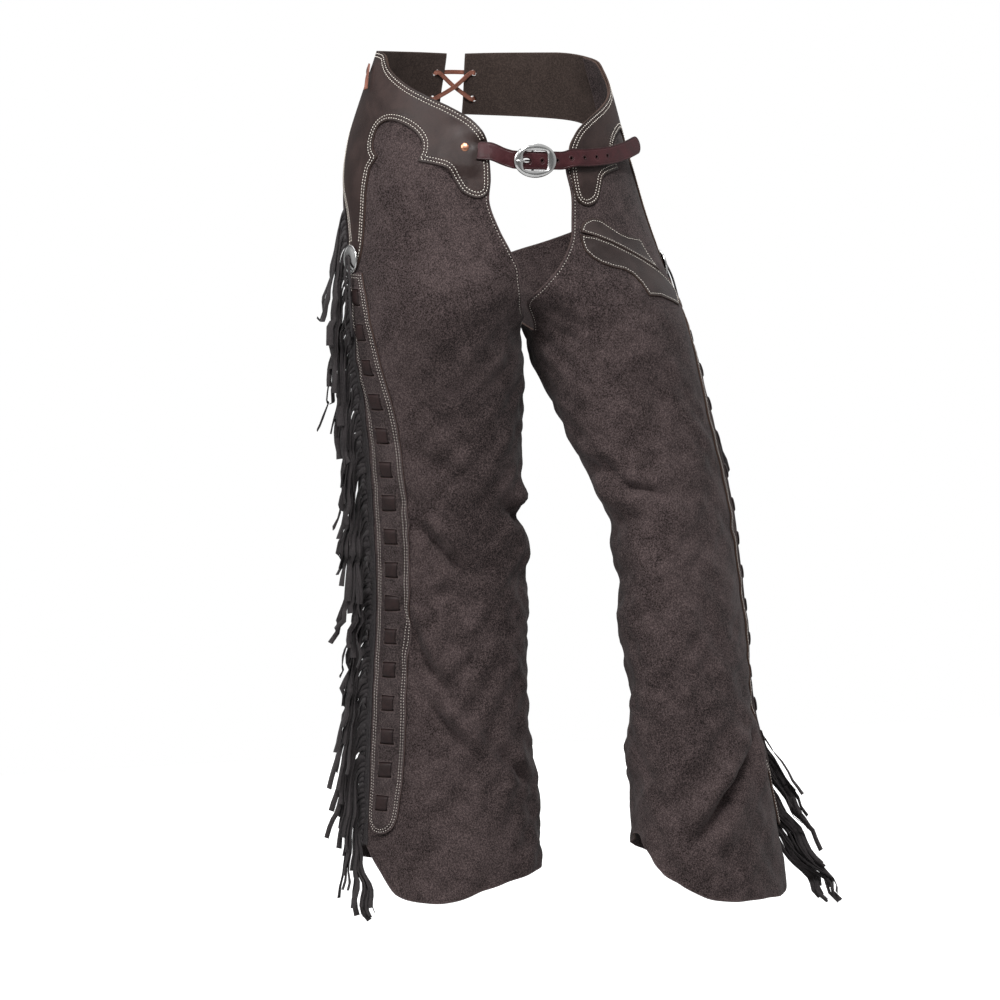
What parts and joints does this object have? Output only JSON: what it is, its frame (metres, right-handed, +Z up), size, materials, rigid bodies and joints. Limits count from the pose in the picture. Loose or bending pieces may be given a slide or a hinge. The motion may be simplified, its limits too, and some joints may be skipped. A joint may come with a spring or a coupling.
{
  "type": "leather chaps",
  "caption": "Western leather chaps in worn form: suede legs open at the seat, smooth yokes, buckled front strap, laced back belts, woven side strips, fringe and a left leg pocket",
  "frame": {"origin": "middle of the waist at the height of the yokes' top edge, where the wearer's hips hold the chaps up", "axes": "+Z up; the wearer faces -Y; the wearer's left is +X"},
  "size_m": [0.5237, 0.3456, 0.9409],
  "materials": {
    "suede": "suede, rough side out, charcoal brown",
    "smooth_leather": "smooth, satin, charcoal brown",
    "strip_leather": "smooth, satin",
    "lace_leather": "smooth, satin",
    "fringe_suede": "suede, matte",
    "latigo": "waxed, semi gloss, dark oxblood",
    "russet_lace": "smooth, satin, russet",
    "steel": "nickel plated, polished",
    "copper": "copper, polished"
  },
  "bodies": {
    "root": {"back_lace": "russet_lace", "billet": "latigo", "buckle_frame": "steel", "buckle_tongue": "steel", "chape": "latigo", "concho_left": "steel", "concho_right": "steel", "concho_strings_left": "fringe_suede", "concho_strings_right": "fringe_suede", "fringe_left": "fringe_suede", "fringe_right": "fringe_suede", "leg_left": "suede", "leg_right": "suede", "pocket_facing": "smooth_leather", "pocket_welt": "smooth_leather", "rivet": "copper", "strip_lace_left": "lace_leather", "strip_lace_right": "lace_leather", "strip_left": "strip_leather", "strip_right": "strip_leather", "yoke_left": "smooth_leather", "yoke_right": "smooth_leather"}
  },
  "joints": []
}
